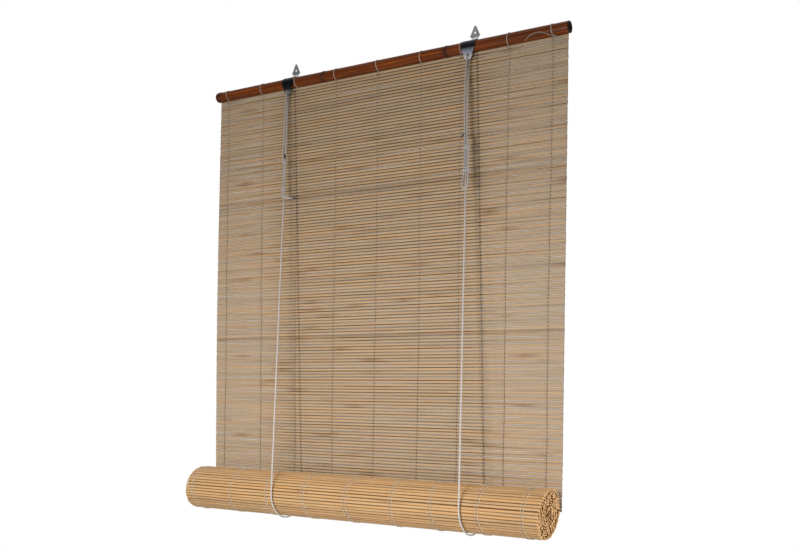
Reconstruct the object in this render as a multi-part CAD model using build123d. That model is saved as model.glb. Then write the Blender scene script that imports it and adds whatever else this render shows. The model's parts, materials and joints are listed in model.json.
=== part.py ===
from build123d import *
import math
import os

os.makedirs("parts", exist_ok=True)

# Bamboo roll-up blind, half rolled up, hung on two spring clips.
# Millimetres. X runs across the blind, the room side is -Y, Z is up. The origin is on the wall,
# midway between the screw holes of the two clips.

# ---- driving dimensions ----
# head cane
cane_length = 800.0
cane_radius = 10.35
cane_bore_radius = 5.8
cane_end_round = 3.5
end_node_inset = 9.0                       # the first bamboo joint, from the cane's left end
clip_node_offsets = {"left": 85.0, "right": -49.0}    # the other two, from the clips
node_width = 7.0
node_swell = 0.9
cane_offset_x = -3.0                       # the clips sit 3 mm off the middle of the cane
end_node_wall = 4.0                        # culm wall left at a joint

# clips
clip_spacing = 412.0
clip_sheet = 1.2
clip_width = 28.0
clip_fit = 0.1                             # radial play between clip and cane
clip_standoff = 6.0                        # the wall plate stands this far behind the ring
arrow_tip_height = 44.0                    # above the cane's axis
arrow_base_height = 24.0
arrow_width = 20.0
arrow_tip_width = 3.0
screw_hole_height = 31.0
screw_hole_radius = 2.1
neck_width = 14.0
neck_bend_height = 14.0
window_play = 1.0
eye_height = -18.5
eye_radius = 3.5
lobe_radius = 8.0
shield_foot = -16.0                        # the wide shield ends here and the lobe begins
rear_tab_width = 12.0
rear_tab_end = -22.0
rear_hole_height = -17.0
rear_hole_play = 0.5

# mat
cane_overhang = 5.0                        # beyond each edge of the mat
slat_height = 5.1
slat_thickness = 2.0
slat_pitch_wanted = 5.9
first_slat_gap = 0.6                       # below the thread rings round the cane
edge_column_insets = {"left": 23.0, "right": 26.0}    # outermost warp columns, from the mat's edges
clip_column_gaps = {"left": 2.0, "right": 7.0}        # the clips' inner edges to the columns there
column_shifts = [0.5, 3.25, 7.5, 10.75, 3.5]          # the other columns, from even spacing
warp_width = 1.0
warp_thickness = 0.8
tie_thread_radius = 0.5
thread_play = 0.05
warp_gap = 0.2

# roll
roll_radius = 45.0
roll_drop = 827.0                          # cane axis to the roll's axis
turn_gap = 0.7
turn_play = 0.1                            # the mat's turns are this much thicker than slat and threads
core_radius = 3.0
running_gap = 0.3                          # between parts that move past each other

# lift cords
cord_radius = 1.5
cord_play = 0.5                            # cord to the clip's sheet
cord_joint_gap = 0.25                      # between one stretch of a cord and the next
cord_lean = 34.0                           # sideways, from the eye to the roll
cord_start = -28.0                         # below the cane's axis, where the hanging stretch begins
rear_bend_radius = 4.0
stop_knot_lip = 0.9                        # beyond the rear hole's edge
stop_knot_length = 4.4
strand_gap = 0.3                           # where the tail lies along the cord
knot_length = 9.0
knot_half_depth = 4.4
knot_wall = 1.7
slot_play = 0.1
upper_knot_drop = {"left": 165.0, "right": 188.0}
lower_knot_drop = {"left": 222.0, "right": 229.0}

# The free tails, from the clip's eye to the cut end. Each point is (sideways from the cord,
# in front of the cord, height from the cane's axis), for strands that lie route_spacing apart.
route_spacing = 3.3
tail_route = {
    "left": [(-3.6, 3.2, -62), (-4.6, 1.7, -102), (-3.7, 0.9, -131), (-8.0, 1.6, -143),
             (-3.3, 0.0, -153), (-3.3, 0.0, -231), (-2.7, 3.8, -238), (8.0, 4.6, -239),
             (20.0, 4.0, -242), (33.0, 2.6, -244)],
    "right": [(-3.8, 3.0, -66), (-4.7, 1.5, -106), (-4.1, 0.9, -140), (-3.3, 0.0, -168),
              (-3.3, 0.0, -239), (-5.6, 2.6, -250), (-4.6, 5.2, -259), (-1.4, 6.0, -264.5),
              (3.4, 5.6, -264), (6.2, 4.0, -257.5), (5.2, 1.6, -248.5), (3.3, 0.0, -239),
              (3.3, 0.0, -178), (2.2, 4.0, -170), (-5.0, 4.8, -166), (-12.5, 3.6, -170)],
}

# ---- places that follow from them ----
ring_inner = cane_radius + clip_fit
ring_outer = ring_inner + clip_sheet
cane_y = -(ring_outer + clip_standoff)
cane_z = -screw_hole_height
roll_y = slat_thickness / 2 + warp_thickness - roll_radius
turn_thickness = slat_thickness + 2 * warp_thickness + turn_play
turn_pitch = turn_thickness + turn_gap
sling_radius = roll_radius + running_gap + cord_radius
clip_places = {"left": -clip_spacing / 2, "right": clip_spacing / 2}
node_places = [cane_offset_x - cane_length / 2 + end_node_inset]
node_places += [clip_places[side] + offset for side, offset in clip_node_offsets.items()]
mat_width = cane_length - 2 * cane_overhang
front_leg_y = -(ring_outer + cord_play + cord_radius)
back_leg_y = -(ring_inner - cord_play - cord_radius)
rear_hole_radius = cord_radius + rear_hole_play
stop_knot_radius = rear_hole_radius + stop_knot_lip
strand_spacing = 2 * cord_radius + strand_gap


def at(x, y, z):
    """A point given from the cane's axis (y, z) and the clips' middle (x)."""
    return Vector(x, cane_y + y, cane_z + z)


def save(shape, node):
    shape.label = node
    export_step(shape, f"parts/{node}.step")


def rod(start, end, radius):
    """A round straight stretch of cord."""
    run = end - start
    return extrude(Plane(origin=start, z_dir=run) * Circle(radius), run.length)


def tube(path, radius):
    return sweep(Plane(origin=path @ 0, z_dir=path % 0) * Circle(radius), path=path)


def bends(points):
    """For each corner of a route, 0.45 of its shorter run over the tangent of half the turn."""
    radii = []
    for a, b, c in zip(points, points[1:], points[2:]):
        turn = math.radians((b - a).get_angle(c - b))
        radii.append(0.45 * min((b - a).length, (c - b).length) / math.tan(turn / 2))
    return radii


# ---- head cane ----
def make_cane():
    """A bamboo culm: a plain round rod with a swollen ring at each joint, its left end closed by
    a joint and its right end cut open."""
    half = cane_length / 2
    shoulder = half - cane_end_round
    corner = cane_radius - cane_end_round
    slant = cane_end_round * (1 - math.sqrt(0.5))
    outline = [
        Line((-half, 0), (-half, corner)),
        ThreePointArc((-half, corner), (slant - half, cane_radius - slant), (-shoulder, cane_radius)),
    ]
    reached = -shoulder
    for place in (x - cane_offset_x for x in node_places):
        before, after = place - node_width / 2, place + node_width / 2
        if before > reached:
            outline.append(Line((reached, cane_radius), (before, cane_radius)))
        else:
            before = reached
        swell = (place, cane_radius + node_swell)
        outline.append(ThreePointArc((before, cane_radius), swell, (after, cane_radius)))
        reached = after
    outline += [Line((reached, cane_radius), (half, cane_radius)), Line((half, cane_radius), (half, 0)),
                Line((half, 0), (-half, 0))]
    culm = revolve(Plane.XZ * make_face(Curve() + outline), Axis.X)
    bore_length = half + cane_offset_x - node_places[-1] - end_node_wall
    bore = extrude(Plane.YZ.offset(half - bore_length) * Circle(cane_bore_radius), bore_length)
    return Location(at(cane_offset_x, 0, 0)) * (culm - bore)


# ---- clips ----
def make_clip(x):
    """One spring clip of bent sheet: an arrow-headed wall plate on a joggled neck, a ring three
    quarters round the cane, a shield with the cord's eye in front and a tab with a hole behind."""
    side = Plane.YZ.offset(-clip_width / 2)
    ring = Circle(ring_outer) - Circle(ring_inner)
    reach = ring_outer + 1
    open_quarter = Pos(-reach / 2, -reach / 2) * Rectangle(reach, reach)
    clip = extrude(side * (ring - open_quarter), clip_width)

    # the neck is cut out of the ring's back and bent up
    window = Pos(0, reach / 2, reach / 2) * Box(neck_width + 2 * window_play, 2 * reach, reach)
    clip -= Pos(0, ring_inner / 2, 2) * window
    middle = ring_inner + clip_sheet / 2
    wall_middle = middle + clip_standoff
    bend = clip_standoff / 2
    spine = FilletPolyline((0, middle, -1), (0, middle, neck_bend_height),
                           (0, wall_middle, arrow_base_height - bend), (0, wall_middle, arrow_base_height),
                           radius=bend / 2)
    section = Plane(origin=spine @ 0, z_dir=spine % 0, x_dir=(1, 0, 0)) * Rectangle(neck_width, clip_sheet)
    clip += sweep(section, path=spine)

    # arrow-headed wall plate with its screw hole
    head = Polygon((-arrow_width / 2, arrow_base_height), (arrow_width / 2, arrow_base_height),
                   (arrow_width / 2, arrow_base_height + 1.5), (arrow_tip_width / 2, arrow_tip_height),
                   (-arrow_tip_width / 2, arrow_tip_height), (-arrow_width / 2, arrow_base_height + 1.5),
                   align=None)
    head = fillet(head.vertices().sort_by(Axis.Y)[-2:], arrow_tip_width * 0.45)
    head -= Pos(0, screw_hole_height) * Circle(screw_hole_radius)
    clip += extrude(front_plane(wall_middle) * head, clip_sheet / 2, both=True)

    # shield and eye
    half = clip_width / 2
    shield = Polygon((-half, 0), (-half, -4), (-lobe_radius, shield_foot), (lobe_radius, shield_foot),
                     (half, -4), (half, 0), align=None)
    shield += Pos(0, eye_height) * Circle(lobe_radius)
    shield -= Pos(0, eye_height) * Circle(eye_radius)
    clip += extrude(front_plane(-middle) * shield, clip_sheet / 2, both=True)

    # rear tab for the cord's knotted end
    tab_half = rear_tab_width / 2
    tab = Polygon((-tab_half, 0), (-tab_half, rear_tab_end + tab_half),
                  (tab_half, rear_tab_end + tab_half), (tab_half, 0), align=None)
    tab += Pos(0, rear_tab_end + tab_half) * Circle(tab_half)
    tab -= Pos(0, rear_hole_height) * Circle(rear_hole_radius)
    clip += extrude(front_plane(middle) * tab, clip_sheet / 2, both=True)
    return Location(at(x, 0, 0)) * clip


def front_plane(y):
    """A drawing plane seen from the front: its x is X and its y is Z."""
    return Plane(origin=(0, y, 0), x_dir=(1, 0, 0), z_dir=(0, -1, 0))


# ---- mat ----
tie_foot_drop = cane_radius + thread_play + 2 * tie_thread_radius
mat_end_drop = roll_drop - running_gap     # the roll's outer turn begins just below the last slat
first_slat_drop = tie_foot_drop + first_slat_gap + slat_height / 2
slat_run = mat_end_drop - slat_height / 2 - first_slat_drop
slat_steps = round(slat_run / slat_pitch_wanted)
slat_drops = [first_slat_drop + step * slat_run / slat_steps for step in range(slat_steps + 1)]
warp_top_drop = tie_foot_drop + warp_gap


def spaced(first, last, shifts):
    """Places spread evenly between two columns, each then moved by its own shift."""
    step = (last - first) / (len(shifts) + 1)
    return [first + step * number + shift for number, shift in enumerate(shifts, start=1)]


outer_left = cane_offset_x - mat_width / 2 + edge_column_insets["left"]
outer_right = cane_offset_x + mat_width / 2 - edge_column_insets["right"]
inner_left = clip_places["left"] + clip_width / 2 + clip_column_gaps["left"]
inner_right = clip_places["right"] - clip_width / 2 - clip_column_gaps["right"]
column_places = [
    outer_left, *spaced(outer_left, inner_left, column_shifts[:1]), inner_left,
    *spaced(inner_left, inner_right, column_shifts[1:4]),
    inner_right, *spaced(inner_right, outer_right, column_shifts[4:]), outer_right,
]


def make_slats():
    """The hanging slats, one flat strip of bamboo each."""
    strip = Box(mat_width, slat_thickness, slat_height)
    return Compound([Location(at(cane_offset_x, 0, -drop)) * strip for drop in slat_drops])


def make_warp(x):
    """The two threads of one column, one in front of the slats and one behind them."""
    length = mat_end_drop - warp_top_drop
    offset = (slat_thickness + warp_thickness) / 2
    thread = Box(warp_width, warp_thickness, length)
    middle = -(mat_end_drop + warp_top_drop) / 2
    return Compound([Location(at(x, y, middle)) * thread for y in (-offset, offset)])


def make_tie(x):
    """The thread ring that ties the mat to the cane at one column."""
    ring_radius = cane_radius + thread_play + tie_thread_radius
    return Location(at(x, 0, 0), (0, 90, 0)) * Torus(ring_radius, tie_thread_radius)


# ---- roll ----
def make_roll():
    """The wound part of the mat: one band wound inwards in half turns, each half turn an arc
    whose centre steps from one side of the axis to the other by half a turn's pitch."""
    innermost = core_radius + turn_thickness
    half_turns = int((roll_radius - turn_pitch / 4 - innermost) / (turn_pitch / 2))
    outer, inner = [], []
    for turn in range(half_turns):
        side = 1 if turn % 2 == 0 else -1
        centre = side * turn_pitch / 4
        radius = roll_radius - turn_pitch / 4 - turn * turn_pitch / 2
        for found, r in ((outer, radius), (inner, radius - turn_thickness)):
            found.append(ThreePointArc((centre + side * r, 0), (centre, -side * r), (centre - side * r, 0)))
    caps = [Line(outer[0] @ 0, inner[0] @ 0), Line(outer[-1] @ 1, inner[-1] @ 1)]
    band = make_face(Curve() + outer + inner + caps)
    wound = extrude(Plane.YZ.offset(-mat_width / 2) * band, mat_width)
    return Location(at(cane_offset_x, roll_y, -roll_drop)) * wound


# ---- lift cords ----
def touch(point, centre, radius, side):
    """Where the line from a point touches a circle, in the cord's own plane (y, height)."""
    dy, dz = centre[0] - point[0], centre[1] - point[1]
    to_point = math.atan2(-dz, -dy)
    opening = math.acos(radius / math.hypot(dy, dz))
    angle = to_point + side * opening
    return centre[0] + radius * math.cos(angle), centre[1] + radius * math.sin(angle)


lean = math.asin(cord_lean / (roll_drop + cord_start))
sling_centre = (roll_y, cord_start - (roll_drop + cord_start) / math.cos(lean))
front_touch = touch((back_leg_y, cord_start), sling_centre, sling_radius, 1)
rear_leg_y = ring_inner - cord_play - cord_radius - rear_bend_radius
rear_touch = touch((rear_leg_y, cord_start), sling_centre, sling_radius, -1)


def leaning(x, y, z):
    """A point of the cord's own plane, which leans sideways about the clip's eye."""
    return at(x - (z - cord_start) * math.sin(lean), y, cord_start + (z - cord_start) * math.cos(lean))


def beside(x, u, v, z):
    """A point beside the front stretch of a cord, u sideways and v in front, at height z."""
    top, foot = leaning(x, back_leg_y, cord_start), leaning(x, *front_touch)
    share = (at(x, 0, z).Z - top.Z) / (foot.Z - top.Z)
    return top + (foot - top) * share + Vector(u, -v, 0)


def make_strand(x, start_y, touch_point):
    """A straight stretch, from under the clip to where it meets the roll."""
    start, end = leaning(x, start_y, cord_start), leaning(x, *touch_point)
    trim = (end - start).normalized() * cord_joint_gap
    return rod(start + trim, end - trim, cord_radius)


def make_sling(x):
    """The stretch that carries the roll: down its front, under it and up behind it."""
    lowest = (sling_centre[0], sling_centre[1] - sling_radius)
    points = [leaning(x, *p) for p in (front_touch, lowest, rear_touch)]
    return tube(ThreePointArc(*points), cord_radius)


def make_eye_turn(x):
    """The turn over the lower rim of the clip's eye, from behind the lobe to its front."""
    rim = eye_height - eye_radius
    bend = (back_leg_y - front_leg_y) / 2
    middle = (back_leg_y + front_leg_y) / 2
    legs = [at(x, back_leg_y, cord_start), at(x, back_leg_y, rim), at(x, middle, rim + bend),
            at(x, front_leg_y, rim), at(x, front_leg_y, cord_start)]
    path = Wire([Line(legs[0], legs[1]), ThreePointArc(*legs[1:4]), Line(legs[3], legs[4])])
    return tube(path, cord_radius)


def make_rear_end(x):
    """The bend through the hole of the rear tab and the stop knot behind it."""
    hole = rear_hole_height
    corner = hole - rear_bend_radius
    slant = rear_bend_radius * (1 - math.sqrt(0.5))
    behind = ring_outer + cord_joint_gap
    path = Wire([
        Line(at(x, rear_leg_y, cord_start), at(x, rear_leg_y, corner)),
        ThreePointArc(at(x, rear_leg_y, corner), at(x, rear_leg_y + slant, hole - slant),
                      at(x, rear_leg_y + rear_bend_radius, hole)),
        Line(at(x, rear_leg_y + rear_bend_radius, hole), at(x, behind + 1, hole)),
    ])
    knot = rod(at(x, behind, hole), at(x, behind + stop_knot_length, hole), stop_knot_radius)
    return tube(path, cord_radius) + fillet(knot.edges(), stop_knot_radius * 0.45)


def tail_points(side):
    x = clip_places[side]
    start = at(x, front_leg_y, cord_start - cord_joint_gap)
    spread = strand_spacing / route_spacing
    return [start] + [beside(x, u * spread, v * spread, z) for u, v, z in tail_route[side]]


def make_tail(side):
    """The free tail, from the front of the eye down to its knots and its cut end."""
    points = tail_points(side)
    radii = bends(points)
    path = FilletPolyline(*points, radius=radii)
    tail = tube(path, cord_radius)
    expected = math.pi * cord_radius**2 * path.length
    print(f"tail_{side}: length {path.length:.1f}, volume ratio {tail.volume / expected:.4f}, radii",
          [round(radius, 1) for radius in radii])
    return tail


def make_knot(side, drop):
    """A knot drawn as an oval barrel, with a slot for the strands that it holds."""
    x = clip_places[side]
    along = beside(x, 0, 0, -drop - 1) - beside(x, 0, 0, -drop)
    strands = (-1, 0, 1) if side == "right" else (-1, 0)
    middle = sum(strands) / len(strands) * strand_spacing
    slot_width = (len(strands) - 1) * strand_spacing + 2 * (cord_radius + slot_play)
    slot_height = 2 * (cord_radius + slot_play)
    frame = Plane(origin=beside(x, middle, 0, -drop), z_dir=along, x_dir=(1, 0, 0))
    outline = Ellipse(slot_width / 2 + knot_wall, knot_half_depth) - SlotOverall(slot_width, slot_height)
    return extrude(frame * outline, knot_length / 2, both=True)


# ---- build every node ----
save(make_cane(), "head_cane")
save(make_slats(), "hanging_slats")
save(make_roll(), "mat_roll")
for number, place in enumerate(column_places, start=1):
    save(make_tie(place), f"cane_tie_{number}")
    save(make_warp(place), f"warp_threads_{number}")
for side, x in clip_places.items():
    save(make_clip(x), f"clip_{side}")
    save(make_strand(x, back_leg_y, front_touch), f"cord_front_{side}")
    save(make_sling(x), f"cord_sling_{side}")
    save(make_strand(x, rear_leg_y, rear_touch), f"cord_back_{side}")
    save(make_eye_turn(x), f"cord_eye_turn_{side}")
    save(make_rear_end(x), f"cord_rear_end_{side}")
    save(make_tail(side), f"cord_tail_{side}")
    save(make_knot(side, upper_knot_drop[side]), f"tie_knot_upper_{side}")
    save(make_knot(side, lower_knot_drop[side]), f"tie_knot_lower_{side}")
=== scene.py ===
import json
import math
import bmesh
import bpy
import numpy as np
from mathutils import Matrix, Vector


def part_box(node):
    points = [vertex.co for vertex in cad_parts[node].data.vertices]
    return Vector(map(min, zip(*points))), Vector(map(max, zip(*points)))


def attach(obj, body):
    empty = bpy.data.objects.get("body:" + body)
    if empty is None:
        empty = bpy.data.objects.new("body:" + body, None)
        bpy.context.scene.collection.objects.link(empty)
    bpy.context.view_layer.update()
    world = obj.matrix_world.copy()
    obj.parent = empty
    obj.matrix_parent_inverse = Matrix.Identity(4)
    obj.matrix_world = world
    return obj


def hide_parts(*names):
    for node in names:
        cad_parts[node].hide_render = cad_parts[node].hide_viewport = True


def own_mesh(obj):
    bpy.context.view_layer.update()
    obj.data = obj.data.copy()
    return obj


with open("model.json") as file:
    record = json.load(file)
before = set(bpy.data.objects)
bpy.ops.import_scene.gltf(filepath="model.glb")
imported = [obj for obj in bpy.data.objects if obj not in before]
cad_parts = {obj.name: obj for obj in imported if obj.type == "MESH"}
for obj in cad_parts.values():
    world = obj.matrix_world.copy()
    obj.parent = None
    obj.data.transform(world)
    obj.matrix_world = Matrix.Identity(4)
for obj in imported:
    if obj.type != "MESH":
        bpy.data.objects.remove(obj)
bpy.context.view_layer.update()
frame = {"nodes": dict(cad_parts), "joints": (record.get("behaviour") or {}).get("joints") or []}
rng = np.random.default_rng(41)

# Bamboo roll-up blind, in metres. X runs across the blind, the room side is -Y, Z is up.

# ---- sizes that the frame doesn't hold ----
SLAT_HEIGHT = 0.0051
SLAT_THICKNESS = 0.0020
SLAT_STEPS = 137                # from the top slat of the hanging mat to its lowest
SLAT_SIDES = 12                 # of the outline of a slat's section
MIDDLE_GAP = 0.00002            # between slats, between the lift cords
OUTER_GAP = 0.00030             # the same, outside the cords
FIRST_TURN_DROP = 0.0024        # how much nearer to the axis the roll's second turn lies
LATER_TURN_DROP = 0.0041        # the same, for each later turn
CORE_RADIUS = 0.0045            # the innermost slats of the roll
THREAD_RADIUS = 0.00042
THREAD_SIDES = 6
WEAVE_SAMPLES = 8               # points of a warp thread from one slat to the next
# the columns of warp threads: their places along the cane, and how far each stands to the right of
# its place at the mat's top and at its foot
COLUMNS = [-0.375, -0.282, -0.190, -0.093, 0.005, 0.102, 0.185, 0.279, 0.366]
TOP_DRIFT = [0.004, 0.004, 0.0, 0.002, 0.002, 0.002, 0.003, 0.004, 0.0]
FOOT_DRIFT = [0.0, 0.006, 0.005, 0.0, 0.0, 0.0, 0.0, 0.0, -0.005]
# painted shadow lines of the rear cords on the mat, darkest in the gaps between the slats
REAR_CORD_SHADOW_LINES = ((-0.195, 0.0285), (0.2196, 0.0245))   # place at the cane and drift down to the roll
CANE_RADIUS = 0.01035
CANE_JOINTS = [-0.394, -0.121, 0.157]
CANE_SIDES = 48
BORE_RADIUS = 0.0058
CLIPS = {"left": -0.206, "right": 0.206}            # places along the cane
CORD_RADIUS = 0.0015
CORD_SIDES = 12
CORD_START = 0.028              # the hanging cords begin this far below the cane's axis
CORD_LEAN = 0.034               # how far sideways a cord goes on its way down to the roll
REAR_HOLE_DROP = 0.017          # from the cane's axis down to the hole of a clip's rear tab
STRAND_SPACING = 0.0033
KNOT_DROPS = {"left": (0.165, 0.222), "right": (0.188, 0.229)}      # of the upper and lower hitch
FLOOR_DROP = 1.75               # from the cane down to the floor
FLOOR_REACH = 2.2               # from the floor's middle to its sides

# The free tails, in mm: sideways from the cord, in front of it, and height from the cane's axis.
TAIL_ROUTE = {
    "left": [(-3.6, 3.2, -62), (-4.6, 1.7, -102), (-3.7, 0.9, -131), (-8.0, 1.6, -143),
             (-3.3, 0.0, -153), (-3.3, 0.0, -231), (-2.7, 3.8, -238), (8.0, 4.6, -239),
             (20.0, 4.0, -242), (33.0, 2.6, -244)],
    "right": [(-3.8, 3.0, -66), (-4.7, 1.5, -106), (-4.1, 0.9, -140), (-3.3, 0.0, -168),
              (-3.3, 0.0, -239), (-5.6, 2.6, -250), (-4.6, 5.2, -259), (-1.4, 6.0, -264.5),
              (3.4, 5.6, -264), (6.2, 4.0, -257.5), (5.2, 1.6, -248.5), (3.3, 0.0, -239),
              (3.3, 0.0, -178), (2.2, 4.0, -170), (-3.5, 4.8, -164), (-6.5, 4.6, -166),
              (-8.0, 4.0, -170)],
}

# ---- places read from the frame ----
cane_low, cane_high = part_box("head_cane")
slats_low, slats_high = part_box("hanging_slats")
roll_low, roll_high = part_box("mat_roll")
tie_low, tie_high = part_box("cane_tie_1")
sling_low, sling_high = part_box("cord_sling_left")
spin = next(j for j in frame["joints"] if j["name"] == "roll_spin")
cane_y = (tie_low[1] + tie_high[1]) / 2
cane_z = (tie_low[2] + tie_high[2]) / 2
mat_y = (slats_low[1] + slats_high[1]) / 2
mat_top, mat_foot = slats_high[2], slats_low[2]
roll_y, roll_z = spin["pos_m"][1], spin["pos_m"][2]
band_radius = mat_y - roll_y                 # the outer turn's middle, in line with the mat
slat_pitch = (mat_top - mat_foot - SLAT_HEIGHT) / SLAT_STEPS


# ---- meshes from arrays ----
def add_piece(name, points, faces, material, slot, **values):
    """A smooth mesh object from arrays of points and four-cornered faces. Each further array is kept
    as a value on the points: one number, or three, for each point."""
    mesh = bpy.data.meshes.new(name)
    mesh.from_pydata(np.asarray(points).reshape(-1, 3).tolist(), [], faces)
    for key, array in values.items():
        array = np.asarray(array, dtype=np.float32)
        if array.ndim > 1:
            mesh.attributes.new(key, "FLOAT_VECTOR", "POINT").data.foreach_set("vector", array.ravel())
        else:
            mesh.attributes.new(key, "FLOAT", "POINT").data.foreach_set("value", array)
    mesh.polygons.foreach_set("use_smooth", np.full(len(mesh.polygons), True))
    mesh.update()
    piece = bpy.data.objects.new(name, mesh)
    bpy.context.scene.collection.objects.link(piece)
    mesh.materials.append(material)
    return piece


def grid_faces(rows, columns, start=0):
    """Faces of a tube whose points are rings, one for each row, with a point for each column."""
    row = np.arange(rows - 1)[:, None] * columns
    column = np.arange(columns)[None, :]
    following = (column + 1) % columns
    faces = np.stack([row + column, row + following, row + columns + following, row + columns + column], -1)
    return faces.reshape(-1, 4) + start


def cap_faces(columns):
    """Four-cornered faces across a ring with an even number of points."""
    k = np.arange(columns // 2 - 1)
    return np.stack([k, k + 1, columns - 2 - k, columns - 1 - k], -1)


def outward(piece):
    """Turns every face of a closed piece outwards."""
    mesh = bmesh.new()
    mesh.from_mesh(piece.data)
    bmesh.ops.recalc_face_normals(mesh, faces=mesh.faces)
    mesh.to_mesh(piece.data)
    mesh.free()


def tube_points(path, radius, sides):
    """Points of a tube: at each place on the path, a ring of the given radius in the plane across
    the path. The ring's first direction is carried along the path so that the tube doesn't twist.
    With them comes, for each point, the length along the tube and the cosine and sine round it."""
    path = np.asarray(path, float)
    along = np.gradient(path, axis=0)
    along /= np.linalg.norm(along, axis=1, keepdims=True)
    first = np.cross(along[0], [0.0, 0.0, 1.0])
    if np.linalg.norm(first) < 0.1:
        first = np.cross(along[0], [0.0, 1.0, 0.0])
    across = np.empty_like(path)
    for i, direction in enumerate(along):
        first = first - direction * np.dot(first, direction)
        first = first / np.linalg.norm(first)
        across[i] = first
    other = np.cross(along, across)
    turn = np.arange(sides) / sides * 2 * math.pi
    cos, sin = np.cos(turn), np.sin(turn)
    ring = across[:, None] * cos[None, :, None] + other[:, None] * sin[None, :, None]
    length = np.concatenate([[0.0], np.cumsum(np.linalg.norm(np.diff(path, axis=0), axis=1))])
    wound = np.zeros((len(path), sides, 3))
    wound[..., 0] = length[:, None]
    wound[..., 1] = cos
    wound[..., 2] = sin
    return path[:, None] + ring * radius, wound


def tube_mesh(name, paths, radius, sides, material, slot, sealed=-1.0):
    """One piece of one or more closed-ended tubes. The value 'wound' holds, for the braid, the
    length along the tube and the direction round it. 'tip' rises to 1 within a millimetre on the
    sealed length at the end of the longest tube, and stays 0 if that length is negative."""
    points, wounds, faces, count = [], [], [], 0
    cap = cap_faces(sides)
    for path in paths:
        ring_points, wound = tube_points(path, radius, sides)
        rows = len(ring_points)
        points.append(ring_points.reshape(-1, 3))
        wounds.append(wound.reshape(-1, 3))
        faces.append(grid_faces(rows, sides, count)[:, ::-1])
        faces.append(cap + count)
        faces.append((cap + (rows - 1) * sides)[:, ::-1] + count)
        count += rows * sides
    wound = np.concatenate(wounds)
    tip = np.clip((wound[:, 0] - wound[:, 0].max() + sealed) / 0.001, 0, 1)
    piece = add_piece(name, np.concatenate(points), np.concatenate(faces).tolist(), material, slot,
                      wound=wound, tip=tip)
    outward(piece)
    return piece


def cord_mesh(name, paths, radius=CORD_RADIUS, sealed=-1.0):
    """A piece of braided cord."""
    return tube_mesh(name, paths, radius, CORD_SIDES, cord_cotton, "cord", sealed)


def thread_mesh(name, paths, radius, cotton):
    """A piece of cotton thread."""
    return tube_mesh(name, paths, radius, THREAD_SIDES, cotton, "thread")


def spline_points(control):
    """The points of a smooth NURBS curve with the given control points."""
    curve = bpy.data.curves.new("route", "CURVE")
    curve.dimensions = "3D"
    curve.resolution_u = 16
    spline = curve.splines.new("NURBS")
    spline.points.add(len(control) - 1)
    for point, place in zip(spline.points, control):
        point.co = (*place, 1.0)
    spline.order_u = 3
    spline.use_endpoint_u = True
    holder = bpy.data.objects.new("route", curve)
    bpy.context.scene.collection.objects.link(holder)
    mesh = bpy.data.meshes.new_from_object(holder)
    found = np.array([v.co for v in mesh.vertices])
    bpy.data.objects.remove(holder)
    bpy.data.meshes.remove(mesh)
    bpy.data.curves.remove(curve)
    return found


# ---- materials ----
def put_stops(ramp, stops):
    """Gives a colour ramp its stops, each (place, colour) or (place, grey)."""
    while len(ramp.elements) < len(stops):
        ramp.elements.new(0.5)
    for element, (place, colour) in zip(ramp.elements, stops):
        element.position = place
        element.color = (*colour, 1.0) if isinstance(colour, tuple) else (colour, colour, colour, 1.0)


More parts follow.
